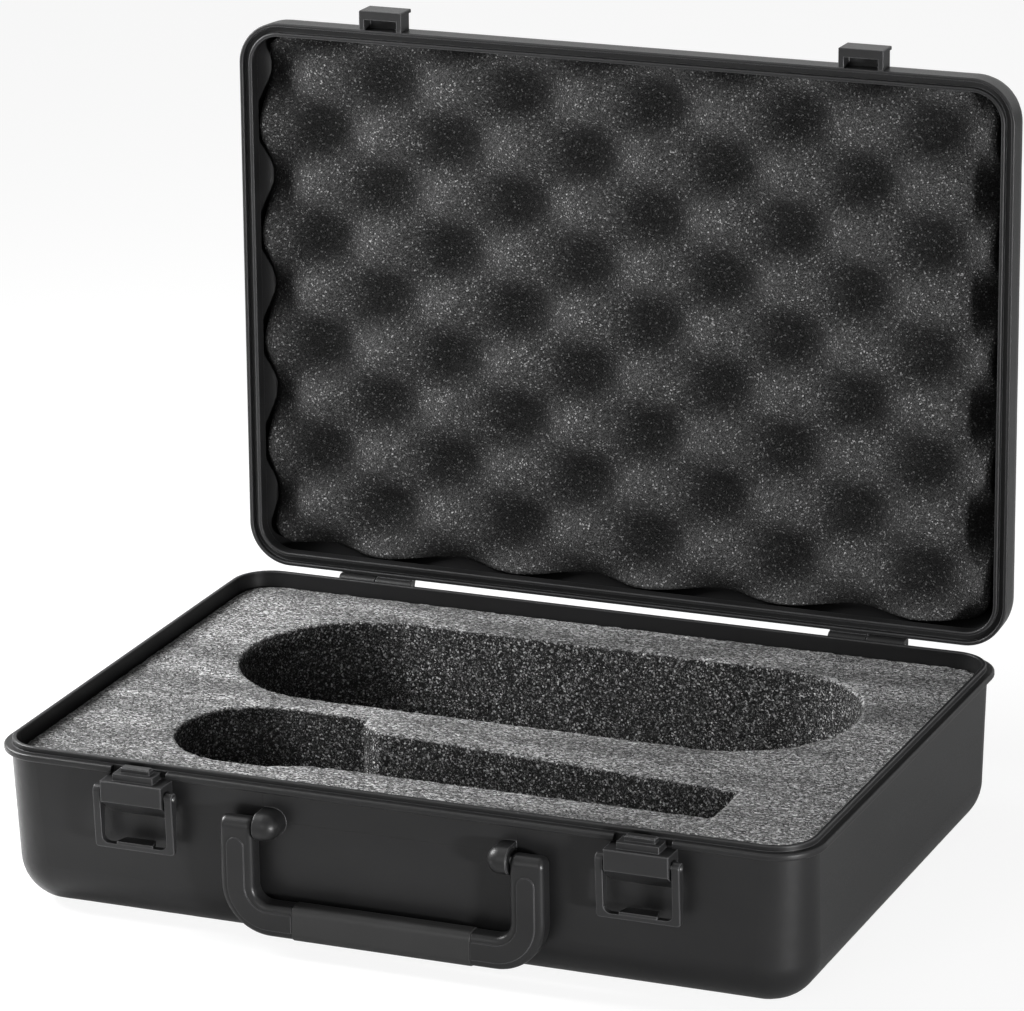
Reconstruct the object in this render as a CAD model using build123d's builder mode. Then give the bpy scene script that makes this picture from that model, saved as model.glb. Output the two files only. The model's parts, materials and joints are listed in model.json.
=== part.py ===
from build123d import *
from math import ceil, cos, radians, sin, tan
import os

# Moulded microphone case, open at rest. Millimetres, +Z up, front towards -Y.
# Origin: centre of the flat underside of the base.

# ---- moulded shells -------------------------------------------------------------
flange_length = 300.0        # outer flange of the base, along X
flange_depth = 210.0         # outer flange of the base, along Y
flange_corner = 17.2         # plan corner radius of the flange
flange_thickness = 2.4
flange_edge_round = 0.8
parting_height = 58.0        # top of the flange, where the lid rim seats
draft_angle = 1.0            # mould draft of every side wall
wall_thickness = 2.0
wall_inset = 2.5             # base wall's outer face, in from the flange edge
base_edge_round = 17.0       # rounding between the walls and the underside
base_bottom_corner = 18.0    # plan corner radius at the underside
tongue_inset = 2.9           # tongue's outer face, in from the flange edge
tongue_height = 2.0
tongue_round = 0.5
lid_inset = 1.2              # lid's outer face, in from the flange edge
lid_height = 23.7            # rim to the top of the lid
lid_edge_round = 17.0
lid_top_corner = 18.0        # plan corner radius at the lid's top
lid_lip = 1.4                # outer lip of the lid rim
inner_lip = 1.4              # inner lip of the lid rim
rim_band_height = 5.0        # thickened band behind the lid rim
lip_round = 0.4
seat_gap = 0.3               # clearance between faces that only rest on each other
edge_break = 0.4             # small rounding on moulded edges

# ---- lid hinge ------------------------------------------------------------------
hinge_setback = 1.3          # hinge axis, out from the flange edge
hinge_inset = 53.2           # centre of each hinge, in from the flange's end
hinge_width = 29.0
hinge_split = 0.4            # gap between the two knuckles of a hinge
knuckle_radius = 2.2
hinge_pin_radius = 0.8
stop_reach = 3.3             # stop ledge of the base knuckle, out from the axis
lid_open_angle = 91.0
lug_height = 4.0             # lid lug, up from the parting plane when closed

# ---- foam -----------------------------------------------------------------------
foam_gap = 0.3               # foam to wall and foam to floor
foam_top = 54.5              # upper face of the base foam
pad_thickness = 15.5
tray_left, tray_right = -114.5, 117.5      # ends of the long rear pocket
tray_front, tray_back = -9.5, 77.3
head_radius = 27.5           # microphone head pocket
head_x, head_y = -74.5, -49.0
head_shoulder = -43.0        # where the head pocket steps down, rear side
head_slope = -58.0           # where it starts to narrow, front side
neck_x = -35.0
neck_rear, neck_front = -33.0, -71.0
body_end = 103.0             # square end of the microphone body pocket
body_rear, body_front = -44.0, -70.4
lid_foam_inset = 6.5         # edge of the lid foam, in from the flange edge
lid_foam_sink = 4.2          # foam peaks below the lid rim
lid_foam_round = 12.0
lid_foam_corner = 13.0
egg_pitch_x, egg_pitch_y = 52.6, 41.0      # convoluted face: spacing of the dimples in one row
egg_depth = 13.0             # dimple floor below the peaks
egg_floor_share = 0.15       # flat floor of a dimple, as a share of its mouth
egg_shift = 11.1             # middle dimple, to the right of the lid's middle
egg_turn = 0.8               # the sheet lies a little askew, degrees

# ---- latches --------------------------------------------------------------------
latch_inset = 58.0           # centre of each latch, in from the flange's end
block_width = 23.0
block_reach = 6.5            # block's front face, out from the flange edge
block_top = 55.0
block_lip = 47.6             # lower edge of the block's front face
block_foot = 41.0            # where the sloped underside meets the wall
notch_width = 20.7           # flange left out above each block
tier_width = 15.0            # lower step of the locating tongue
tier_reach = 4.5
tier_top = 57.4
peg_width = 10.8             # upper step, enters the keeper's window
peg_top = 59.3
bail_axis_reach = 3.4        # bail pivot, out from the flange edge
bail_axis_height = 50.5
bail_pin_radius = 0.8
bail_eye_radius = 2.1
bail_gap = 0.7               # between the bail arm and the block's side
bail_arm = 2.7
bail_depth = 2.2
bail_bar = 1.7
bail_bar_drop = 18.6         # inner face of the bar, down from the pivot
bail_corner = 2.5
tab_base_width = 13.6
tab_tip_width = 11.0
tab_reach = 3.0              # thumb tab, in from the frame
tab_drop = 17.6              # upper face of the tab, down from the pivot
tab_thickness = 1.8
keeper_width = 16.6
keeper_reach = 6.0           # keeper's outer face, out from the flange edge
keeper_bar = 3.3             # thickness outside the window
keeper_side = 1.95           # thickness beside the window
keeper_height = 7.3          # block above the lid rim
keeper_roof = 1.6
keeper_plate = 1.3           # outer plate that the bail hooks over
keeper_plate_height = 9.5    # above the lid rim

# ---- carry handle ---------------------------------------------------------------
handle_axis_reach = 3.0      # pivot, out from the flange edge
handle_axis_height = 45.1
boss_radius = 4.9
boss_flat = 46.5             # flat end of each boss, out from the middle
boss_tip = 38.1              # domed end
handle_gap = 0.3             # boss end to handle arm
arm_width = 12.4
arm_rise = 2.9               # arm top above the pivot
handle_depth = 7.6
handle_bottom = 6.5
member_height = 11.8         # bottom member
handle_outer_corner = 18.0
handle_inner_corner = 5.5
handle_round = 2.2
arm_top_round = 3.5
panel_width = 6.3            # raised panel along the handle's front
panel_height = 0.5
panel_start = 6.8            # panel's rounded top, down from the arm top
grip_half = 32.8
grip_wall = 2.0
grip_swell = 0.5             # grip's outer face beyond the member
grip_round = 3.2
core_gap = 0.1
handle_pin_radius = 1.5
handle_pin_in_boss = 7.0
handle_pin_in_arm = 9.5
pin_press = 0.01             # radial room of a pin in the piece that holds it
pin_running = 0.08           # radial room of a pin in the piece that turns on it

# ---- derived places -------------------------------------------------------------
front_edge = -flange_depth / 2
rear_edge = flange_depth / 2
base_wall_front = front_edge + wall_inset
lid_wall_front = front_edge + lid_inset
cavity_inset = wall_inset + wall_thickness
rim_height = parting_height + seat_gap
hinge_y = rear_edge + hinge_setback
hinge_offset = flange_length / 2 - hinge_inset
latch_offset = flange_length / 2 - latch_inset
hinge_axis = Axis((0, hinge_y, parting_height), (1, 0, 0))
bail_y = front_edge - bail_axis_reach
handle_y = front_edge - handle_axis_reach
knuckle_width = (hinge_width - hinge_split) / 2
handle_half = boss_flat + handle_gap + arm_width
over = 1.0                   # how far cutting shapes run past what they cut


def plan(inset, corner, mode=Mode.ADD):
    """Rounded outline at a distance in from the flange edge."""
    RectangleRounded(flange_length - 2 * inset, flange_depth - 2 * inset, corner, mode=mode)


def drafted(form, open_z, closed_z, inset, corner, closed_corner, edge_round):
    """Drafted box from its open end to its closed end, with the closed end rounded."""
    shrink = abs(closed_z - open_z) * tan(radians(draft_angle))
    with BuildSketch(Plane.XY.offset(open_z)) as open_end:
        plan(inset, corner)
    with BuildSketch(Plane.XY.offset(closed_z)) as closed_end:
        plan(inset + shrink, closed_corner)
    loft(sections=(open_end.sketch, closed_end.sketch))
    if edge_round:
        end = form.faces().sort_by(Axis.Z)[0 if closed_z < open_z else -1]
        fillet(end.edges(), edge_round)


def ring(bottom_z, height, outer_inset, inner_inset, mode=Mode.ADD):
    """Band that follows the case outline."""
    with BuildSketch(Plane.XY.offset(bottom_z)) as band:
        plan(outer_inset, flange_corner - outer_inset)
        plan(inner_inset, flange_corner - inner_inset, mode=Mode.SUBTRACT)
    extrude(band.sketch, amount=height, mode=mode)


def rod(start_x, length, y, z, radius, mode=Mode.ADD):
    """Cylinder along +X, for a pin or its bore."""
    with BuildSketch(Plane.YZ.offset(start_x)) as section:
        with Locations((y, z)):
            Circle(radius)
    extrude(section.sketch, amount=length, mode=mode)


def block(x_range, y_range, z_range, mode=Mode.ADD):
    """Box between three pairs of limits."""
    sizes = [abs(high - low) for low, high in (x_range, y_range, z_range)]
    middles = [(high + low) / 2 for low, high in (x_range, y_range, z_range)]
    with Locations(tuple(middles)):
        Box(*sizes, mode=mode)


# ---- outer and inner forms, used by the shells and by what seats on them ---------
with BuildPart() as base_form:
    drafted(base_form, parting_height, 0, wall_inset, flange_corner - wall_inset,
            base_bottom_corner, base_edge_round)

with BuildPart() as base_cavity:
    drafted(base_cavity, parting_height, wall_thickness, cavity_inset, flange_corner - cavity_inset,
            base_bottom_corner - wall_thickness, base_edge_round - wall_thickness)
    with BuildSketch(Plane.XY.offset(parting_height)):
        plan(cavity_inset, flange_corner - cavity_inset)
    extrude(amount=tongue_height + over)

with BuildPart() as lid_form:
    drafted(lid_form, rim_height, rim_height + lid_height, lid_inset, flange_corner - lid_inset,
            lid_top_corner, lid_edge_round)

with BuildPart() as lid_cavity:
    drafted(lid_cavity, rim_height, rim_height + lid_height - wall_thickness,
            lid_inset + wall_thickness, flange_corner - lid_inset - wall_thickness,
            lid_top_corner - wall_thickness, lid_edge_round - wall_thickness)

with BuildPart() as flange_ring:
    ring(parting_height - flange_thickness, flange_thickness, 0, cavity_inset - over / 2)
    rim_edges = flange_ring.edges().filter_by(lambda edge: edge.bounding_box().max.Y > rear_edge - over
                                              or abs(edge.bounding_box().max.X) > flange_length / 2 - over
                                              or edge.bounding_box().min.X < over - flange_length / 2
                                              or edge.bounding_box().min.Y < front_edge + over)
    rim_edges = rim_edges.filter_by(lambda edge: abs(edge.tangent_at(0).Z) < 0.5)
    fillet(rim_edges, flange_edge_round)

with BuildPart() as tongue_ring:
    ring(parting_height - flange_thickness / 2, tongue_height + flange_thickness / 2,
         tongue_inset, cavity_inset)
    fillet(tongue_ring.faces().sort_by(Axis.Z)[-1].edges(), tongue_round)

# Carry-handle boss: a dome lying along X, carried back into the wall.
with BuildPart() as boss_form:
    with BuildSketch(Plane.XY.offset(handle_axis_height)):
        with BuildLine():
            dome_centre = boss_tip + boss_radius
            RadiusArc((boss_tip, handle_y), (dome_centre, handle_y - boss_radius), -boss_radius)
            Polyline((dome_centre, handle_y - boss_radius), (boss_flat - edge_break, handle_y - boss_radius),
                     (boss_flat, handle_y - boss_radius + edge_break), (boss_flat, handle_y),
                     (boss_tip, handle_y))
        make_face()
    revolve(axis=Axis((0, handle_y, handle_axis_height), (1, 0, 0)))
    with BuildSketch(Plane.XZ.offset(-handle_y)):
        with Locations((dome_centre, handle_axis_height)):
            Circle(boss_radius)
            Rectangle(boss_flat - edge_break - dome_centre, 2 * boss_radius,
                      align=(Align.MIN, Align.CENTER))
        with Locations((boss_flat - edge_break, handle_axis_height)):
            Rectangle(boss_radius, 2 * boss_radius, align=(Align.MIN, Align.CENTER),
                      mode=Mode.SUBTRACT)
    extrude(amount=-(base_wall_front - handle_y + over))


def base_knuckle(start_x):
    """Base half of a hinge with the ledge that the open lid rests on."""
    with BuildSketch(Plane.YZ.offset(start_x)) as profile:
        with Locations((hinge_y, parting_height)):
            Circle(knuckle_radius)
            Rectangle(hinge_setback + over, knuckle_radius, align=(Align.MAX, Align.MAX))
            Rectangle(stop_reach, 2 * knuckle_radius, align=(Align.MIN, Align.CENTER))
        corners = profile.vertices().filter_by(
            lambda corner: abs(corner.X) >= 0 and corner.Y > hinge_y + stop_reach - 0.01)
        fillet(corners, edge_break)
    extrude(profile.sketch, amount=knuckle_width)


with BuildPart() as base_shell:
    add(base_form.part)
    add(flange_ring.part)
    add(tongue_ring.part)
    add(boss_form.part)
    mirror(boss_form.part, about=Plane.YZ)
    # flange left out above the latch blocks and behind the lid's hinge lugs
    for side in (-1, 1):
        latch_x = side * latch_offset
        block((latch_x - notch_width / 2, latch_x + notch_width / 2), (front_edge - over, base_wall_front),
              (parting_height - flange_thickness - over, parting_height + over), mode=Mode.SUBTRACT)
        lid_knuckle_x = side * hinge_offset - side * (knuckle_width + hinge_split) / 2
        room = knuckle_width / 2 + hinge_split
        block((lid_knuckle_x - room, lid_knuckle_x + room),
              (hinge_y - knuckle_radius - seat_gap, rear_edge + over),
              (parting_height - flange_thickness - over, parting_height + over), mode=Mode.SUBTRACT)
    add(base_cavity.part, mode=Mode.SUBTRACT)
    for side in (-1, 1):
        start = side * hinge_offset + side * hinge_split / 2 - (knuckle_width if side < 0 else 0)
        base_knuckle(start)
        rod(start - over, knuckle_width + 2 * over, hinge_y, parting_height,
            hinge_pin_radius + pin_press, mode=Mode.SUBTRACT)
        pin_end = boss_flat - handle_pin_in_boss
        rod(side * pin_end if side > 0 else -boss_flat - over, handle_pin_in_boss + over,
            handle_y, handle_axis_height, handle_pin_radius + pin_press, mode=Mode.SUBTRACT)

# ---- foam -----------------------------------------------------------------------
pad_bottom = wall_thickness + foam_gap
pad_top = pad_bottom + pad_thickness
insert_bottom = pad_top + foam_gap


def cavity_inset_at(height):
    return cavity_inset + (parting_height - height) * tan(radians(draft_angle))


with BuildPart() as base_foam_pad:
    drafted(base_foam_pad, pad_top, pad_bottom, cavity_inset_at(pad_top) + foam_gap,
            base_bottom_corner - wall_thickness, base_bottom_corner - wall_thickness,
            base_edge_round - wall_thickness)

with BuildPart() as base_foam_insert:
    drafted(base_foam_insert, foam_top, insert_bottom, cavity_inset_at(foam_top) + foam_gap,
            flange_corner - cavity_inset, base_bottom_corner - wall_thickness, 0)
    with BuildSketch(Plane.XY.offset(insert_bottom)):
        with Locations(((tray_left + tray_right) / 2, (tray_front + tray_back) / 2)):
            SlotOverall(tray_right - tray_left, tray_back - tray_front)
        with BuildLine():
            rear_tangent = (head_x, head_y + head_radius)
            front_tangent = (head_x, head_y - head_radius)
            ThreePointArc(rear_tangent, (head_x - head_radius, head_y), front_tangent)
            Polyline(front_tangent, (head_slope, head_y - head_radius), (head_shoulder, neck_front),
                     (body_end, body_front), (body_end, body_rear), (neck_x, neck_rear),
                     (head_shoulder, neck_rear + (head_y + head_radius - neck_rear) / 2),
                     (head_shoulder, head_y + head_radius), rear_tangent)
        make_face()
    extrude(amount=foam_top - insert_bottom, mode=Mode.SUBTRACT)

# ---- lid, drawn closed ------------------------------------------------------------
with BuildPart() as lid_shell_closed:
    add(lid_form.part)
    add(lid_cavity.part, mode=Mode.SUBTRACT)
    groove_inset = lid_inset + lid_lip
    inner_lip_inset = cavity_inset + seat_gap
    ring(rim_height, rim_band_height, groove_inset - over / 5, inner_lip_inset + inner_lip)
    groove_depth = tongue_height
    ring(rim_height, groove_depth, groove_inset, inner_lip_inset, mode=Mode.SUBTRACT)
    rim_face_edges = lid_shell_closed.faces().filter_by(Axis.Z).group_by(Axis.Z)[0].edges()
    fillet(rim_face_edges, lip_round)
    for side in (-1, 1):
        start = side * hinge_offset - side * hinge_split / 2 - (knuckle_width if side > 0 else 0)
        with BuildSketch(Plane.YZ.offset(start)) as lug:
            with Locations((hinge_y, parting_height)):
                Circle(knuckle_radius)
            with BuildLine():
                lug_inner = rear_edge - lid_inset - wall_thickness / 2
                Polyline((lug_inner, rim_height), (hinge_y, rim_height),
                         (hinge_y + knuckle_radius, parting_height),
                         (hinge_y + knuckle_radius * cos(radians(60)), parting_height + knuckle_radius),
                         (lug_inner, parting_height + lug_height), (lug_inner, rim_height))
            make_face()
        extrude(amount=knuckle_width)
        rod(start - over, knuckle_width + 2 * over, hinge_y, parting_height,
            hinge_pin_radius + pin_running, mode=Mode.SUBTRACT)

def egg_octagon(height, share):
    """Eight-sided outline of a dimple, stretched to the pitch, at a height above its mouth."""
    reach = share / (2 * cos(radians(22.5)))
    turns = [radians(22.5 + 45 * corner) for corner in range(8)]
    with BuildSketch(Plane.XY.offset(height)) as outline:
        Polygon(*[(reach * egg_pitch_x * cos(turn), reach * egg_pitch_y * sin(turn)) for turn in turns],
                align=None)
    return outline.sketch


with BuildPart() as egg_dimple:
    loft(sections=(egg_octagon(0, 1), egg_octagon(egg_depth, egg_floor_share)), ruled=True)

# Convoluted sheet: two interleaved grids of dimples leave the peaks standing between them.
with BuildPart() as lid_foam_closed:
    foam_peaks = rim_height + lid_foam_sink
    drafted(lid_foam_closed, foam_peaks, rim_height + lid_height - wall_thickness - foam_gap,
            lid_foam_inset, lid_foam_corner, lid_foam_corner, lid_foam_round)
    columns = 1 + 2 * ceil(flange_length / 2 / egg_pitch_x)
    rows = 1 + 2 * ceil(flange_depth / 2 / egg_pitch_y)
    with Locations(Location((egg_shift, 0, foam_peaks), (0, 0, egg_turn))):
        for stagger in (0, 0.5):
            with Locations((stagger * egg_pitch_x, stagger * egg_pitch_y, 0)):
                with GridLocations(egg_pitch_x, egg_pitch_y, columns, rows):
                    add(egg_dimple.part, mode=Mode.SUBTRACT)


def keeper(x):
    """Catch on the lid's front wall, with the window that the locating tongue enters."""
    with BuildPart() as catch:
        outer = front_edge - keeper_reach
        half = keeper_width / 2
        block((x - half, x + half), (outer, lid_wall_front + wall_thickness),
              (rim_height, rim_height + keeper_height))
        block((x - half, x + half), (outer, outer + keeper_plate),
              (rim_height, rim_height + keeper_plate_height))
        fillet(catch.edges().filter_by(Axis.Z).group_by(Axis.Y)[0], edge_break)
        fillet(catch.edges().filter_by(Axis.X).group_by(Axis.Z)[-1], edge_break)
        block((x - half + keeper_side, x + half - keeper_side),
              (outer + keeper_bar, lid_wall_front + wall_thickness + over),
              (rim_height - over, rim_height + keeper_height - keeper_roof), mode=Mode.SUBTRACT)
        add(lid_form.part, mode=Mode.SUBTRACT)
    return catch.part


def latch_block(x):
    """Ledge that carries a bail, with the stepped tongue that locates the lid."""
    with BuildPart() as ledge:
        outer = front_edge - block_reach
        root = base_wall_front + wall_thickness
        with BuildSketch(Plane.YZ.offset(x - block_width / 2)):
            with BuildLine():
                Polyline((outer, block_top), (outer, block_lip), (base_wall_front, block_foot),
                         (root, block_foot), (root, block_top), (outer, block_top))
            make_face()
        extrude(amount=block_width)
        fillet(ledge.edges().group_by(Axis.Y)[0], edge_break)
        block((x - tier_width / 2, x + tier_width / 2), (front_edge - tier_reach, root),
              (block_top, tier_top))
        peg_front = front_edge - keeper_reach + keeper_bar + seat_gap
        block((x - peg_width / 2, x + peg_width / 2), (peg_front, lid_wall_front - seat_gap),
              (tier_top, peg_top))
        chamfer(ledge.faces().sort_by(Axis.Z)[-1].edges(), edge_break)
        add(base_shell.part, mode=Mode.SUBTRACT)
        rod(x - block_width, 2 * block_width, bail_y, bail_axis_height,
            bail_pin_radius + pin_press, mode=Mode.SUBTRACT)
    return ledge.part


def latch_bail(x):
    """Bail frame hanging from its pivot, with the thumb tab on the wall side."""
    inner_half = block_width / 2 + bail_gap
    outer_half = inner_half + bail_arm
    bar_top = bail_axis_height - bail_bar_drop
    bar_bottom = bar_top - bail_bar
    with BuildPart() as frame:
        with BuildSketch(Plane.XZ.offset(-bail_y)) as outline:
            with Locations((x, 0)):
                with Locations((0, bar_bottom)):
                    Rectangle(2 * outer_half, bail_axis_height + bail_eye_radius - bar_bottom,
                              align=(Align.CENTER, Align.MIN))
                fillet(outline.vertices().group_by(Axis.Y)[0], bail_corner / 2)
                with Locations((0, bar_top)):
                    Rectangle(2 * inner_half, bail_axis_height, align=(Align.CENTER, Align.MIN),
                              mode=Mode.SUBTRACT)
            inner = outline.vertices().filter_by(lambda corner: abs(corner.Y - bar_top) < 0.01)
            fillet(inner, bail_corner)
        extrude(amount=bail_eye_radius, both=True)
        with BuildSketch(Plane.YZ.offset(x - outer_half)):
            with Locations((bail_y, bail_axis_height)):
                Circle(bail_eye_radius)
            with Locations((bail_y, bar_bottom)):
                Rectangle(bail_depth, bail_bar, align=(Align.CENTER, Align.MIN))
            make_hull()
        extrude(amount=2 * outer_half, mode=Mode.INTERSECT)
        sides = frame.faces().sort_by(Axis.X)
        fillet(sides[0].edges() + sides[-1].edges(), edge_break)
        with BuildSketch(Plane.XY.offset(bail_axis_height - tab_drop - tab_thickness)):
            with BuildLine():
                frame_front = bail_y - bail_depth / 2
                tab_edge = bail_y + bail_depth / 2 + tab_reach
                Polyline((x - tab_base_width / 2, frame_front), (x + tab_base_width / 2, frame_front),
                         (x + tab_tip_width / 2, tab_edge), (x - tab_tip_width / 2, tab_edge),
                         (x - tab_base_width / 2, frame_front))
            make_face()
        extrude(amount=tab_thickness)
        rod(x - 2 * outer_half, 4 * outer_half, bail_y, bail_axis_height,
            bail_pin_radius + pin_running, mode=Mode.SUBTRACT)
    return frame.part


# ---- carry handle -----------------------------------------------------------------
core_height = member_height + 2 * grip_swell - 2 * grip_wall
core_depth = handle_depth + 2 * grip_swell - 2 * grip_wall
member_middle = handle_bottom + member_height / 2

with BuildPart() as handle_frame:
    arm_top = handle_axis_height + arm_rise
    inner_side = handle_half - arm_width
    member_top = handle_bottom + member_height
    with BuildSketch(Plane.XZ.offset(-handle_y)) as bow:
        with Locations((0, handle_bottom)):
            Rectangle(2 * handle_half, arm_top - handle_bottom, align=(Align.CENTER, Align.MIN))
        fillet(bow.vertices().group_by(Axis.Y)[0], handle_outer_corner)
        with Locations((0, member_top)):
            Rectangle(2 * inner_side, arm_top, align=(Align.CENTER, Align.MIN), mode=Mode.SUBTRACT)
        fillet(bow.vertices().filter_by(lambda corner: abs(corner.Y - member_top) < 0.01),
               handle_inner_corner)
    extrude(amount=handle_depth / 2, both=True)
    fillet(handle_frame.edges().filter_by(Axis.X).group_by(Axis.Z)[-1], arm_top_round)
    fillet(handle_frame.edges().filter_by(
        lambda edge: abs(edge.tangent_at(0.5).Y) < 0.5
        and edge.bounding_box().min.Z < arm_top - arm_rise
        and (edge.bounding_box().max.Y < handle_y - handle_depth / 2 + 0.01
             or edge.bounding_box().min.Y > handle_y + handle_depth / 2 - 0.01)), handle_round)
    # raised panel down each arm and round into the bottom member
    front_face = handle_y - handle_depth / 2
    with BuildSketch(Plane.XZ.offset(-front_face)):
        panel_x = handle_half - arm_width / 2
        bend = (handle_outer_corner + handle_inner_corner) / 2
        for side in (-1, 1):
            with BuildLine() as run:
                Line((side * panel_x, arm_top - panel_start - panel_width / 2),
                     (side * panel_x, member_middle + bend))
                RadiusArc((side * panel_x, member_middle + bend), (side * (panel_x - bend), member_middle),
                          side * bend)
                Line((side * (panel_x - bend), member_middle), (side * grip_half, member_middle))
            trace(line_width=panel_width)
            with Locations((side * panel_x, arm_top - panel_start - panel_width / 2)):
                Circle(panel_width / 2)
    extrude(amount=panel_height)
    # slimmer core inside the grip
    with BuildSketch(Plane.YZ.offset(-grip_half)):
        with Locations((handle_y, member_middle)):
            Rectangle(4 * handle_depth, 2 * member_height)
            RectangleRounded(core_depth, core_height, grip_round - grip_wall, mode=Mode.SUBTRACT)
    extrude(amount=2 * grip_half, mode=Mode.SUBTRACT)
    for side in (-1, 1):
        start = inner_side - over if side > 0 else -inner_side - handle_pin_in_arm
        rod(start, handle_pin_in_arm + over, handle_y, handle_axis_height,
            handle_pin_radius + pin_running, mode=Mode.SUBTRACT)

with BuildPart() as handle_grip:
    with BuildSketch(Plane.YZ.offset(-grip_half + core_gap)):
        with Locations((handle_y, member_middle)):
            RectangleRounded(handle_depth + 2 * grip_swell, member_height + 2 * grip_swell, grip_round)
            RectangleRounded(core_depth + 2 * core_gap, core_height + 2 * core_gap,
                             grip_round - grip_wall + core_gap, mode=Mode.SUBTRACT)
    extrude(amount=2 * (grip_half - core_gap))
    fillet(handle_grip.edges().filter_by(lambda edge: abs(edge.center().X) > grip_half - 2 * core_gap
                                         and abs(edge.tangent_at(0).X) < 0.5
                                         and edge.bounding_box().size.length < 4 * member_height
                                         ).group_by(lambda edge: round(abs(edge.center().X), 3))[-1]
           .filter_by(lambda edge: max(abs(edge.center().Y - handle_y) / (core_depth / 2 + core_gap),
                                       abs(edge.center().Z - member_middle)
                                       / (core_height / 2 + core_gap)) > 1.01),
           edge_break)


def pin(start_x, length, y, z, radius):
    """Plain steel pin along X with broken ends."""
    with BuildPart() as steel:
        rod(start_x, length, y, z, radius)
        chamfer(steel.edges().filter_by(GeomType.CIRCLE), radius / 4)
    return steel.part


# ---- the nodes ----------------------------------------------------------------------
nodes = {
    "base_shell": base_shell.part,
    "base_foam_pad": base_foam_pad.part,
    "base_foam_insert": base_foam_insert.part,
    "handle_frame": handle_frame.part,
    "handle_grip": handle_grip.part,
}
lid_nodes = {
    "lid_shell": lid_shell_closed.part,
    "lid_foam": lid_foam_closed.part,
}
for name, side in (("left", -1), ("right", 1)):
    latch_x = side * latch_offset
    nodes["latch_block_" + name] = latch_block(latch_x)
    nodes["latch_bail_" + name] = latch_bail(latch_x)
    bail_outer = block_width / 2 + bail_gap + bail_arm
    nodes["latch_pin_" + name] = pin(latch_x - bail_outer, 2 * bail_outer, bail_y, bail_axis_height,
                                     bail_pin_radius)
    nodes["hinge_pin_" + name] = pin(side * hinge_offset - hinge_width / 2, hinge_width,
                                     hinge_y, parting_height, hinge_pin_radius)
    pin_length = handle_pin_in_boss + handle_pin_in_arm
    pin_start = boss_flat - handle_pin_in_boss if side > 0 else handle_pin_in_boss - boss_flat - pin_length
    nodes["handle_pin_" + name] = pin(pin_start, pin_length, handle_y, handle_axis_height,
                                      handle_pin_radius)
    lid_nodes["keeper_" + name] = keeper(latch_x)
for name, solid in lid_nodes.items():
    nodes[name] = solid.rotate(hinge_axis, -lid_open_angle)

os.makedirs("parts", exist_ok=True)
for name, solid in nodes.items():
    solid.label = name
    export_step(solid, "parts/" + name + ".step")
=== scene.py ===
import json
import math

import bmesh
import bpy
from mathutils import Euler, Matrix, Vector, noise


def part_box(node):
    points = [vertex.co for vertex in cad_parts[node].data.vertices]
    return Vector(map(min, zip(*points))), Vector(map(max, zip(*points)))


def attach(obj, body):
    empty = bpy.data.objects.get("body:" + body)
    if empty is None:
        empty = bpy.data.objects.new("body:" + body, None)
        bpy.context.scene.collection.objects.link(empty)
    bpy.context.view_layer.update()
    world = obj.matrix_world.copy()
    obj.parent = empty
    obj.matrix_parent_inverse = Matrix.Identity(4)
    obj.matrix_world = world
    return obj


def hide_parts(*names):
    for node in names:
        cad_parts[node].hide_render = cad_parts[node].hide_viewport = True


# Looks of the open microphone case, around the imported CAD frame. Metres, +Z up, front towards -Y.

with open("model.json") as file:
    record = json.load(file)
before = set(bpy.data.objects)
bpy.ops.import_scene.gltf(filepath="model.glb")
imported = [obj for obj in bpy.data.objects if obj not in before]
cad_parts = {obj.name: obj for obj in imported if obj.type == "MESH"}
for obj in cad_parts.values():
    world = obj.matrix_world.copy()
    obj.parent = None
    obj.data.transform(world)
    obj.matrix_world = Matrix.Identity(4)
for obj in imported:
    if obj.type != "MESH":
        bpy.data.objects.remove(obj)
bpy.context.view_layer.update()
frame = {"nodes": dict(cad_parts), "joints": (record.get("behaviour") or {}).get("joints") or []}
nodes = frame["nodes"]
MM = 0.001

# ---- driving values ---------------------------------------------------------------
# camera, from the case's straight edges in the photograph
camera_yaw = math.radians(22.83)
camera_pitch = math.radians(17.75)
camera_roll = math.radians(-0.91)
camera_lens = 195.2
camera_sensor = 36.0
camera_aim = Vector((-0.0119, 0.0362, 0.1187))
camera_distance = 1.9635

# convoluted lid foam
egg_period_x = 52.6 * MM
egg_period_v = 41.0 * MM
egg_shift_x = 36.3 * MM
egg_shift_v = 4.4 * MM
egg_skew_x = -0.019            # the rows lie a little askew in the lid
egg_skew_v = 0.008
egg_skew_height = 100 * MM     # height in the lid at which egg_shift_x holds
egg_middle = 10.4 * MM         # mean depth of the foam face behind the lid rim
egg_swing = 6.2 * MM
lid_foam_edge = 3.0 * MM       # foam stops short of the slab's CAD box on the right
lid_foam_corner = 13 * MM
lid_foam_step = 1.5 * MM
lid_foam_pores = (0.35 * MM, 2.2 * MM)     # unevenness of the face: height, spacing
lid_foam_waves = (0.8 * MM, 28 * MM)
lid_foam_curl = (1.1 * MM, 2.0 * MM)       # face falls away at the cut edge: depth, width
lid_foam_back_x = 0.985                    # back of the sheet, as a share of its face
lid_foam_back_v = 0.98

# cut foam blocks in the base
block_voxel = 1.25 * MM
block_wobble = (0.35 * MM, 1.9 * MM)       # torn cells: height, spacing
block_smoothing = 2
top_skin = (1.7, 0.8)                      # top colour starts and is full, mm below the foam's top

# faint mould lines on the front wall
slide_half = 46.5 * MM         # upright lines above the handle bosses, out from the middle
boss_height = 45.1 * MM        # level line between the bosses
wall_front = 102.0 * MM
wall_depth = 1.5 * MM          # lines reach this far in from wall_front
level_clear = 10 * MM          # level line stops this far inside the upright ones
upright_line = (0.22, 0.06)    # half width where a line starts and where it is full, mm
level_line = (0.2, 0.06)

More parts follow.
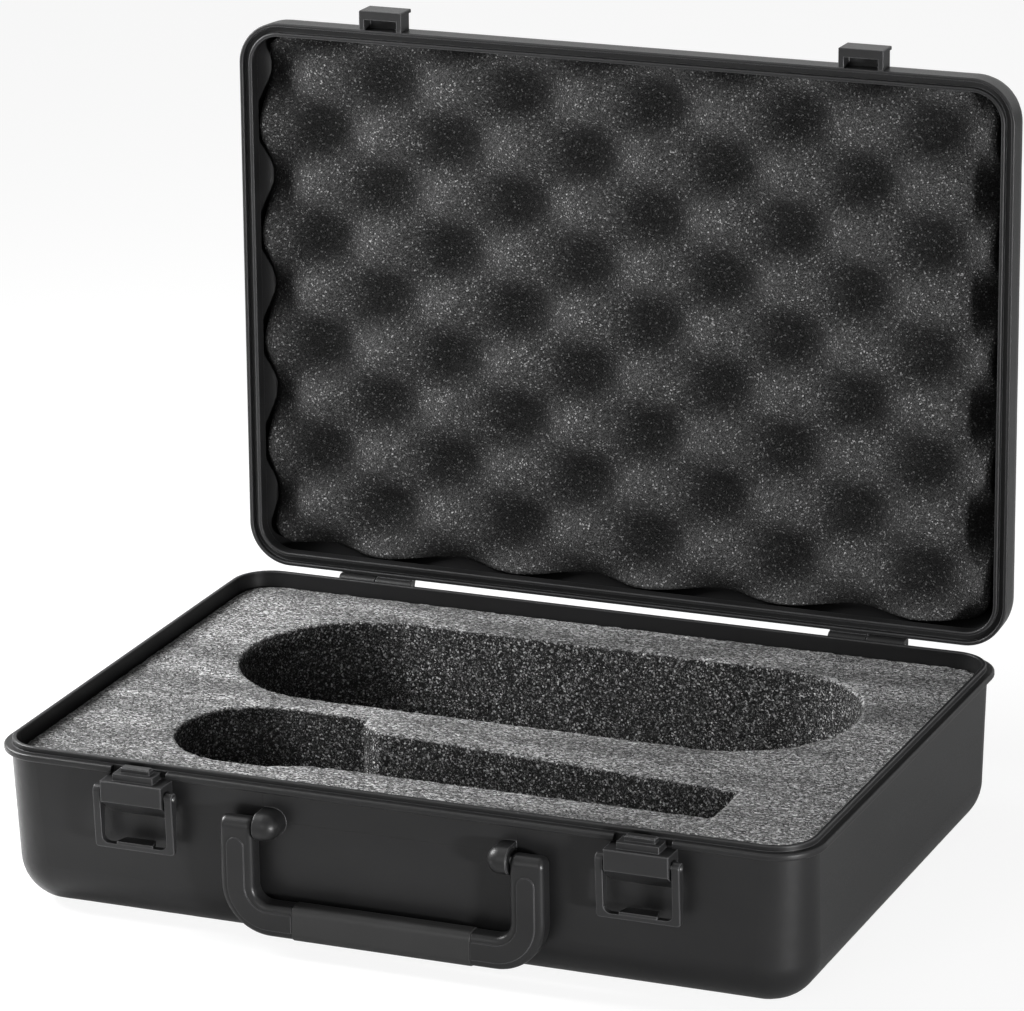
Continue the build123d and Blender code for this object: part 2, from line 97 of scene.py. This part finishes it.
# surface relief of the mouldings
edge_radius = 0.45 * MM
grip_edge_radius = 0.4 * MM
grain_depth = 0.05 * MM
moulding_tint = 1.03

# stage
floor_size = 60
floor_seen = 0.78              # share of plain white in the floor, for the camera
floor_mirrored = 0.15          # and in mirrored and transmitted rays
floor_white = 1.13
world_fill = 0.15              # strength of the world as a light

lid_joint = next(j for j in frame["joints"] if j["name"] == "lid_hinge")
hinge_point = Vector(lid_joint["pos_m"])
lid_open = math.radians(91)


# ---- node helpers -----------------------------------------------------------------
class Nodes:
    """Small helper that adds and links shader nodes in one material or world."""

    def __init__(self, tree):
        self.tree = tree
        tree.nodes.clear()

    def feed(self, socket, value):
        """Links another node's output to the socket, or sets the socket's own value."""
        if isinstance(value, bpy.types.NodeSocket):
            self.tree.links.new(value, socket)
        else:
            socket.default_value = value

    def add(self, kind, **values):
        node = self.tree.nodes.new(kind)
        inputs = values.pop("inputs", {})
        for name, value in values.items():
            setattr(node, name, value)
        for name, value in inputs.items():
            self.feed(node.inputs[name], value)
        return node

    def math(self, operation, a, b=0.0):
        node = self.add("ShaderNodeMath", operation=operation)
        for socket, value in zip(node.inputs, (a, b)):
            self.feed(socket, value)
        return node.outputs[0]

    def ramp(self, factor, low, high, low_value=0.0, high_value=1.0, smooth=False):
        kind = "SMOOTHSTEP" if smooth else "LINEAR"
        node = self.add("ShaderNodeMapRange", interpolation_type=kind,
                        inputs={"Value": factor, "From Min": low, "From Max": high,
                                "To Min": low_value, "To Max": high_value})
        return node.outputs["Result"]

    def mix(self, factor, a, b):
        node = self.add("ShaderNodeMix", data_type="RGBA")
        for socket, value in (("Factor", factor), (6, a), (7, b)):
            self.feed(node.inputs[socket], value)
        return node.outputs[2]

    def place(self, scale=(1, 1, 1)):
        """Object-space coordinates in millimetres times scale."""
        coords = self.add("ShaderNodeTexCoord")
        return self.add("ShaderNodeMapping", vector_type="POINT",
                        inputs={"Vector": coords.outputs["Object"],
                                "Scale": [s / MM for s in scale]}).outputs["Vector"]

    def noise(self, vector, scale, detail=2.0, roughness=0.5):
        node = self.add("ShaderNodeTexNoise", inputs={"Vector": vector, "Scale": scale,
                                                      "Detail": detail, "Roughness": roughness})
        return node.outputs["Fac"]

    def cells(self, vector, scale):
        return self.add("ShaderNodeTexVoronoi", inputs={"Vector": vector, "Scale": scale})

    def bump(self, height, distance, strength=1.0, normal=None):
        node = self.add("ShaderNodeBump", inputs={"Height": height, "Distance": distance,
                                                  "Strength": strength})
        if normal is not None:
            self.tree.links.new(normal, node.inputs["Normal"])
        return node.outputs["Normal"]

    def surface(self, **inputs):
        shader = self.add("ShaderNodeBsdfPrincipled", inputs=inputs)
        self.add("ShaderNodeOutputMaterial", inputs={"Surface": shader.outputs["BSDF"]})

    def mirrored_rays(self, path):
        """1 for rays that come by way of a mirroring or clear surface."""
        return self.math("MAXIMUM", path.outputs["Is Glossy Ray"],
                         path.outputs["Is Transmission Ray"])


def new_material(name):
    material = bpy.data.materials.new(name)
    material.use_nodes = True
    return material, Nodes(material.node_tree)


def grey(value, tint=1.0):
    return (value, value, value * tint, 1.0)


# ---- materials --------------------------------------------------------------------
def rounded_edges_and_highlight_mask(n, radius):
    """Rounded-edge normal, and a mask that is 1 along the edges, where a highlight is painted."""
    bevel = n.add("ShaderNodeBevel", samples=4, inputs={"Radius": radius})
    geometry = n.add("ShaderNodeNewGeometry")
    turned = n.add("ShaderNodeVectorMath", operation="DOT_PRODUCT",
                   inputs={0: bevel.outputs["Normal"], 1: geometry.outputs["Normal"]})
    return bevel.outputs["Normal"], n.ramp(turned.outputs["Value"], 0.997, 0.94)


def mould_lines(n):
    """Mask of the faint lines that the mould's slides leave on the front wall, round the bosses."""
    place = n.add("ShaderNodeSeparateXYZ", inputs={"Vector": n.place()})
    x, y, z = (place.outputs[axis] for axis in "XYZ")
    front = n.math("LESS_THAN", y, (wall_depth - wall_front) / MM)
    above = n.math("GREATER_THAN", z, boss_height / MM)
    aside = n.math("ABSOLUTE", x)
    between = n.math("LESS_THAN", aside, (slide_half - level_clear) / MM)
    off_upright = n.math("ABSOLUTE", n.math("SUBTRACT", aside, slide_half / MM))
    upright = n.ramp(off_upright, *upright_line)
    off_level = n.math("ABSOLUTE", n.math("SUBTRACT", z, boss_height / MM))
    level = n.ramp(off_level, *level_line)
    both = n.math("MAXIMUM", n.math("MULTIPLY", upright, above), n.math("MULTIPLY", level, between))
    return n.math("MULTIPLY", both, front)


def moulded_plastic(name, shade, roughness, edge_highlight_lift, lines=False):
    """Satin spark-eroded moulding: fine grain, faint flow mottling, and a painted highlight along
    the edges.
    """
    material, n = new_material(name)
    flow = n.noise(n.place((0.02, 0.02, 0.05)), 1.0, 3.0)
    fine = n.noise(n.place(), 2.6, 2.0, 0.6)
    normal, edge = rounded_edges_and_highlight_mask(n, edge_radius)
    dark, light, fleck, painted_edge_highlight = (grey(shade * lift, moulding_tint)
                                    for lift in (0.85, 1.15, 0.7, edge_highlight_lift))
    tone = n.mix(n.ramp(flow, 0.35, 0.65), dark, light)
    tone = n.mix(n.ramp(fine, 0.35, 0.65, 0.0, 0.5), tone, fleck)
    # painted highlight: the edges are lightened in the base colour
    tone = n.mix(edge, tone, painted_edge_highlight)
    height = fine
    if lines:
        line = mould_lines(n)
        tone = n.mix(n.math("MULTIPLY", line, 0.6), tone, grey(shade * 0.3))
        height = n.math("SUBTRACT", fine, n.math("MULTIPLY", line, 3.0))
    rough = n.ramp(fine, 0.3, 0.7, roughness - 0.05, roughness + 0.06)
    n.surface(**{"Base Color": tone, "Roughness": rough, "Specular IOR Level": 0.2,
                 "Normal": n.bump(height, grain_depth, 0.45, normal)})
    return material


def grip_with_edge_highlight(name, shade, roughness):
    """Grip sleeve: slightly coarser, drier moulding than the rest of the handle, with a painted
    highlight along its edges.
    """
    material, n = new_material(name)
    coarse = n.cells(n.place(), 1.4).outputs["Distance"]
    flow = n.noise(n.place((0.04, 0.04, 0.04)), 1.0, 3.0)
    normal, edge = rounded_edges_and_highlight_mask(n, grip_edge_radius)
    tone = n.mix(n.ramp(flow, 0.3, 0.7), grey(shade * 0.85), grey(shade * 1.15))
    # painted highlight: the edges are lightened in the base colour
    tone = n.mix(edge, tone, grey(shade * 1.8))
    rough = n.ramp(flow, 0.3, 0.7, roughness - 0.04, roughness + 0.06)
    n.surface(**{"Base Color": tone, "Roughness": rough, "Specular IOR Level": 0.22,
                 "Normal": n.bump(coarse, grain_depth, 0.3, normal)})
    return material


def drawn_steel(name):
    """Small steel pins with faint drawing lines along their length."""
    material, n = new_material(name)
    lines = n.noise(n.place((0.1, 6.0, 6.0)), 1.0, 2.0)
    tone = n.mix(n.ramp(lines, 0.3, 0.7), grey(0.30), grey(0.46))
    rough = n.ramp(lines, 0.3, 0.7, 0.28, 0.42)
    n.surface(**{"Base Color": tone, "Roughness": rough, "Metallic": 1.0,
                 "Normal": n.bump(lines, 0.02 * MM, 0.4)})
    return material


def cell_tones(n, scale, spread):
    """A random tone for each foam cell, few of them bright, and the cells' relief."""
    cell = n.cells(n.place(scale), 1.0)
    parts = n.add("ShaderNodeSeparateColor", inputs={"Color": cell.outputs["Color"]})
    return n.math("POWER", parts.outputs["Green"], spread), cell.outputs["Distance"]


def cut_foam(name, top_dark, top_light, wall_dark, painted_glint_tone):
    """Closed-cell foam block: streaky skived top, torn cells with painted glints on the cut walls.
    """
    material, n = new_material(name)
    flecks, fleck_relief = cell_tones(n, (1.15, 1.9, 1.9), 3.2)
    dust, _ = cell_tones(n, (2.6, 3.2, 3.2), 2.5)
    fibre = n.noise(n.place((0.22, 1.3, 1.3)), 1.0, 3.0, 0.65)
    cloud = n.noise(n.place((0.012, 0.055, 0.055)), 1.0, 3.0, 0.55)
    grain = n.math("ADD", n.math("MULTIPLY", flecks, 0.62), n.math("MULTIPLY", dust, 0.38))
    grain = n.math("MULTIPLY", grain, n.ramp(fibre, 0.3, 0.7, 0.65, 1.35))
    top = n.mix(grain, grey(top_dark), grey(top_light))
    top = n.mix(n.ramp(cloud, 0.42, 0.62, 0.0, 0.45, smooth=True), top, grey(top_dark * 1.4))

    # painted glints: a few bright cells in the cut walls' base colour
    glint, glint_relief = cell_tones(n, (1.6, 1.6, 1.6), 13.0)
    spark, _ = cell_tones(n, (3.0, 3.0, 3.0), 9.0)
    torn = n.noise(n.place((1.4, 1.4, 1.4)), 1.0, 3.0, 0.7)
    painted_glint_mask = n.math("ADD", n.math("MULTIPLY", glint, 0.65), n.math("MULTIPLY", spark, 0.35))
    wall = n.mix(n.ramp(torn, 0.3, 0.7), grey(wall_dark), grey(wall_dark * 3.0))
    wall = n.mix(painted_glint_mask, wall, grey(painted_glint_tone))

    normal = n.add("ShaderNodeNewGeometry").outputs["Normal"]
    facing = n.add("ShaderNodeSeparateXYZ", inputs={"Vector": normal}).outputs["Z"]
    height = n.add("ShaderNodeSeparateXYZ", inputs={"Vector": n.place()}).outputs["Z"]
    near_top = n.ramp(height, *(foam_top / MM - below for below in top_skin), smooth=True)
    is_top = n.math("MULTIPLY", n.ramp(facing, 0.35, 0.75, smooth=True), near_top)
    colour = n.mix(is_top, wall, top)
    pits = n.math("ADD", fleck_relief, glint_relief)
    relief = n.math("ADD", n.math("MULTIPLY", pits, -0.5), torn)
    n.surface(**{"Base Color": colour, "Roughness": 0.72, "Specular IOR Level": 0.08,
                 "Normal": n.bump(relief, 0.6 * MM, 0.8)})
    return material


def open_cell_foam(name, valley, peak):
    """Soft open-cell foam: fine pores, tiny painted glints, and painted shade that darkens the
    valleys.
    """
    material, n = new_material(name)
    pores, pore_relief = cell_tones(n, (2.2, 2.2, 2.2), 1.8)
    dust, _ = cell_tones(n, (3.2, 3.2, 3.2), 1.8)
    glint, _ = cell_tones(n, (2.0, 2.0, 2.0), 20.0)
    grain = n.math("ADD", n.math("MULTIPLY", pores, 0.6), n.math("MULTIPLY", dust, 0.4))
    level = n.add("ShaderNodeAttribute", attribute_name="foam_height").outputs["Fac"]
    depth = n.ramp(level, 0.1, 0.9, smooth=True)
    # painted shade: the colour darkens from the peaks down into the valleys
    low = n.mix(grain, grey(valley * 0.3), grey(valley * 2.2))
    high = n.mix(grain, grey(peak * 0.3), grey(peak * 2.4))
    colour = n.mix(depth, low, high)
    # painted glints in the base colour, brighter on the peaks
    strength = n.ramp(depth, 0.0, 1.0, 0.25, 1.0)
    colour = n.mix(n.math("MULTIPLY", glint, strength), colour, grey(peak * 9.0))
    n.surface(**{"Base Color": colour, "Roughness": 0.9, "Specular IOR Level": 0.08,
                 "Normal": n.bump(pore_relief, 0.5 * MM, 0.7)})
    return material


def dress(name, material):
    """Gives a CAD node its material."""
    mesh = nodes[name].data
    mesh.materials.clear()
    mesh.materials.append(material)


# ---- foam pieces --------------------------------------------------------------------
def lid_frame(point):
    """Place in the open lid: across, up from the hinge edge, and behind the rim plane."""
    closed = Matrix.Rotation(lid_open, 3, "X") @ (point - hinge_point)
    return closed.x, -closed.y, closed.z


def lid_point(across, up, behind):
    closed = Vector((across, -up, behind))
    return Matrix.Rotation(-lid_open, 3, "X") @ closed + hinge_point


def egg_height(across, up):
    """1 on a peak, -1 in a valley."""
    x = across + egg_skew_x * (up - egg_skew_height) - egg_shift_x
    v = up + egg_skew_v * across - egg_shift_v
    return -math.cos(math.tau * x / egg_period_x) * math.cos(math.tau * v / egg_period_v)


def rounded_outline(u, v, half_u, half_v, corner):
    """Maps a point of the square from -1 to 1 onto a rounded rectangle, rim onto rim."""
    x, y = u * half_u, v * half_v
    reach_u = max(abs(x) - (half_u - corner), 0.0)
    reach_v = max(abs(y) - (half_v - corner), 0.0)
    longest = max(reach_u, reach_v)
    if longest > 0 and min(reach_u, reach_v) > 0:
        pull = longest / math.hypot(reach_u, reach_v)
        x -= math.copysign(reach_u * (1 - pull), x)
        y -= math.copysign(reach_v * (1 - pull), y)
    return x, y


def shade_smooth(mesh):
    mesh.polygons.foreach_set("use_smooth", [True] * len(mesh.polygons))


def lid_foam_piece():
    """Convoluted sheet: one grid bent into peaks and valleys, with cut sides and a flat back."""
    low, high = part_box("lid_foam")
    left, right = low.x, high.x - lid_foam_edge
    slab = [lid_frame(v.co) for v in nodes["lid_foam"].data.vertices]
    bottom, top = min(p[1] for p in slab), max(p[1] for p in slab)
    back = max(p[2] for p in slab)
    middle_x, middle_v = (left + right) / 2, (bottom + top) / 2
    half_x, half_v = (right - left) / 2, (top - bottom) / 2
    columns, rows = round(2 * half_x / lid_foam_step), round(2 * half_v / lid_foam_step)
    mesh = bpy.data.meshes.new("lid_foam_convoluted")
    form = bmesh.new()
    height_layer = form.verts.layers.float.new("foam_height")

    def face_point(i, j):
        u, v = 2 * i / columns - 1, 2 * j / rows - 1
        x, y = rounded_outline(u, v, half_x, half_v, lid_foam_corner)
        across, up = middle_x + x, middle_v + y
        edge = min(half_x - abs(x), half_v - abs(y))
        height = egg_height(across, up)
        behind = egg_middle - egg_swing * height
        for (rise, spacing), layer in ((lid_foam_pores, 0.0), (lid_foam_waves, 0.5)):
            behind += rise * noise.noise(Vector((across, up, layer)) / spacing)
        fall, width = lid_foam_curl
        behind += fall * max(0.0, 1 - edge / width) ** 2
        vertex = form.verts.new(lid_point(across, up, behind))
        vertex[height_layer] = (height + 1) / 2
        return vertex

    face = [[face_point(i, j) for j in range(rows + 1)] for i in range(columns + 1)]
    for i in range(columns):
        for j in range(rows):
            form.faces.new((face[i][j], face[i + 1][j], face[i + 1][j + 1], face[i][j + 1]))
    rim = [face[i][0] for i in range(columns)]
    rim += [face[columns][j] for j in range(rows)]
    rim += [face[i][rows] for i in range(columns, 0, -1)]
    rim += [face[0][j] for j in range(rows, 0, -1)]
    rear = []
    for vertex in rim:
        across, up, _ = lid_frame(vertex.co)
        rear.append(form.verts.new(lid_point(middle_x + (across - middle_x) * lid_foam_back_x,
                                             middle_v + (up - middle_v) * lid_foam_back_v, back)))
    for k in range(len(rim)):
        after = (k + 1) % len(rim)
        form.faces.new((rim[after], rim[k], rear[k], rear[after]))
    form.faces.new(rear)
    bmesh.ops.recalc_face_normals(form, faces=form.faces)
    form.to_mesh(mesh)
    form.free()
    shade_smooth(mesh)
    piece = bpy.data.objects.new("lid_foam_convoluted", mesh)
    bpy.context.scene.collection.objects.link(piece)
    return piece


def softened_copy(node, name):
    """Foam block from its CAD solid: cut edges round over, the surface is torn cells."""
    source = nodes[node]
    piece = source.copy()
    piece.data = source.data.copy()
    piece.parent = None
    piece.name = name
    piece.data.name = name
    bpy.context.scene.collection.objects.link(piece)
    for key in list(piece.keys()):
        del piece[key]
    remesh = piece.modifiers.new("cells", "REMESH")
    remesh.mode = "VOXEL"
    remesh.voxel_size = block_voxel
    smooth = piece.modifiers.new("soften", "SMOOTH")
    smooth.factor = 0.5
    smooth.iterations = block_smoothing
    depsgraph = bpy.context.evaluated_depsgraph_get()
    mesh = bpy.data.meshes.new_from_object(piece.evaluated_get(depsgraph))
    piece.modifiers.clear()
    piece.data = mesh
    mesh.name = name
    low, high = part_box(node)
    facings = [Vector(normal.vector) for normal in mesh.vertex_normals]
    rise, spacing = block_wobble
    places = []
    for vertex, facing in zip(mesh.vertices, facings):
        place = vertex.co + facing * rise * noise.noise(vertex.co / spacing)
        places += [min(max(place[k], low[k]), high[k]) for k in range(3)]
    mesh.vertices.foreach_set("co", places)
    mesh.update()
    shade_smooth(mesh)
    return piece


foam_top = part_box("base_foam_insert")[1].z

case_plastic = moulded_plastic("case_plastic", 0.0080, 0.38, lines=True, edge_highlight_lift=7.0)
fitting_plastic = moulded_plastic("fitting_plastic", 0.013, 0.34, edge_highlight_lift=6.0)
handle_plastic = moulded_plastic("handle_plastic", 0.009, 0.32, edge_highlight_lift=6.0)
grip_plastic = grip_with_edge_highlight("grip_plastic", 0.015, 0.38)
pin_steel = drawn_steel("pin_steel")
block_foam = cut_foam("block_foam", 0.011, 0.70, 0.005, 0.74)
sheet_foam = open_cell_foam("sheet_foam", 0.0066, 0.026)

for name in nodes:
    if "_pin_" in name:
        dress(name, pin_steel)
    elif name.startswith(("latch_", "keeper_")):
        dress(name, fitting_plastic)
    elif name == "handle_frame":
        dress(name, handle_plastic)
    elif name == "handle_grip":
        dress(name, grip_plastic)
    else:
        dress(name, case_plastic)

egg = lid_foam_piece()
egg.data.materials.append(sheet_foam)
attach(egg, "lid")
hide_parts("lid_foam")

for node, name in (("base_foam_insert", "foam_insert"), ("base_foam_pad", "foam_floor")):
    piece = softened_copy(node, name)
    piece.data.materials.clear()
    piece.data.materials.append(block_foam)
    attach(piece, "base")
    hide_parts(node)


# ---- stage ----------------------------------------------------------------------------
def plain_floor():
    """Large pale floor that turns to white away from the case and keeps its shadow."""
    bpy.ops.mesh.primitive_plane_add(size=floor_size, location=(0, 0, 0))
    floor = bpy.context.object
    floor.name = "floor"
    material, n = new_material("floor_paint")
    haze = n.noise(n.place((0.002, 0.002, 0.002)), 1.0, 2.0)
    paint = n.add("ShaderNodeBsdfDiffuse",
                  inputs={"Color": n.mix(haze, grey(0.86), grey(0.90))})
    glow = n.add("ShaderNodeEmission", inputs={"Color": grey(1.0), "Strength": floor_white})
    path = n.add("ShaderNodeLightPath")
    white = n.math("ADD", n.math("MULTIPLY", path.outputs["Is Camera Ray"], floor_seen),
                   n.math("MULTIPLY", n.mirrored_rays(path), floor_mirrored))
    mixer = n.add("ShaderNodeMixShader", inputs={"Fac": white, 1: paint.outputs["BSDF"],
                                                 2: glow.outputs["Emission"]})
    n.add("ShaderNodeOutputMaterial", inputs={"Surface": mixer.outputs["Shader"]})
    floor.data.materials.append(material)


def studio_world(fill):
    """White to look at and in mirrored rays, and a faint light of its own."""
    world = bpy.data.worlds.new("studio")
    bpy.context.scene.world = world
    world.use_nodes = True
    n = Nodes(world.node_tree)
    path = n.add("ShaderNodeLightPath")
    seen = n.math("MAXIMUM", path.outputs["Is Camera Ray"], n.mirrored_rays(path))
    strength = n.math("ADD", n.math("MULTIPLY", seen, 1.0 - fill), fill)
    background = n.add("ShaderNodeBackground", inputs={"Color": grey(1.0), "Strength": strength})
    n.add("ShaderNodeOutputWorld", inputs={"Surface": background.outputs["Background"]})


def softbox(name, place, target, size, watts):
    """Rectangular area lamp at a place, aimed at a target."""
    data = bpy.data.lights.new(name, "AREA")
    data.shape = "RECTANGLE"
    data.size, data.size_y = size
    data.energy = watts
    lamp = bpy.data.objects.new(name, data)
    bpy.context.scene.collection.objects.link(lamp)
    lamp.location = place
    lamp.rotation_euler = (Vector(target) - Vector(place)).to_track_quat("-Z", "Y").to_euler()


def photo_camera():
    data = bpy.data.cameras.new("camera")
    data.lens = camera_lens
    data.sensor_width = camera_sensor
    data.sensor_fit = "HORIZONTAL"
    data.clip_end = 100
    camera = bpy.data.objects.new("camera", data)
    bpy.context.scene.collection.objects.link(camera)
    turn = Euler((math.pi / 2 - camera_pitch, 0, camera_yaw), "XYZ").to_matrix()
    turn = turn @ Matrix.Rotation(camera_roll, 3, "Z")
    camera.rotation_euler = turn.to_euler()
    camera.location = camera_aim + turn @ Vector((0, 0, camera_distance))
    bpy.context.scene.camera = camera


plain_floor()
studio_world(world_fill)
softbox("key_left", (-0.50, -0.05, 0.38), (-0.12, 0, 0.05), (0.28, 0.28), 8.6)
softbox("top_back", (-0.5, 0.6, 1.8), (0, 0, 0.05), (1.2, 0.6), 3)
softbox("front_fill", (-0.3, -2.2, 0.8), (0, 0, 0.1), (1.2, 1.0), 12)
softbox("corner_right", (1.235, -0.777, 0.05), (0.133, -0.088, 0.035), (0.16, 0.12), 38)
photo_camera()
bpy.context.scene.view_settings.view_transform = "Standard"
